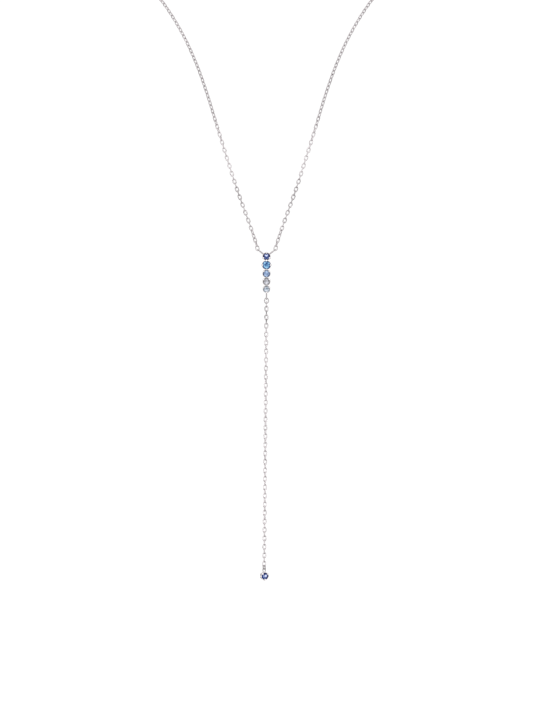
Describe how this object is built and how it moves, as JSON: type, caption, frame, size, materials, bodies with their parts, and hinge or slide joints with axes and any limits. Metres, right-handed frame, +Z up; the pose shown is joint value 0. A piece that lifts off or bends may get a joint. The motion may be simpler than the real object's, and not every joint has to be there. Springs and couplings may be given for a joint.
{
  "type": "drop necklace",
  "caption": "Fine cable chain necklace with a vertical bar of round blue and grey stones and a long chain drop that ends in one more round stone.",
  "frame": {"origin": "at the nape, on the side of the chain that lies on the neck, where the clasp sits", "axes": "+Z up, the stones face -Y, +X to the viewer's right; the drop hangs down along -Z"},
  "size_m": [0.1096, 0.1033, 0.2392],
  "materials": {
    "silver": "polished",
    "royal_blue_stone": "polished",
    "bright_blue_stone": "polished",
    "light_blue_stone": "polished",
    "grey_stone": "polished",
    "pale_stone": "polished"
  },
  "bodies": {
    "neck": {"neck_chain_front_left": "silver", "neck_chain_front_right": "silver", "neck_chain_back_left": "silver", "neck_chain_back_right": "silver", "clasp": "silver", "clasp_ring": "silver"},
    "drop": {"bar_setting": "silver", "stone_1": "royal_blue_stone", "stone_2": "bright_blue_stone", "stone_3": "light_blue_stone", "stone_4": "grey_stone", "stone_5": "pale_stone", "jump_ring": "silver", "drop_chain": "silver", "end_ring": "silver", "end_setting": "silver", "end_stone": "royal_blue_stone"}
  },
  "joints": [
    {"name": "drop_swing", "type": "hinge", "parent": "neck", "child": "drop", "pos_m": [0, -0.1, -0.13725], "axis": [1, 0, 0], "range_deg": [-40, 40]}
  ]
}
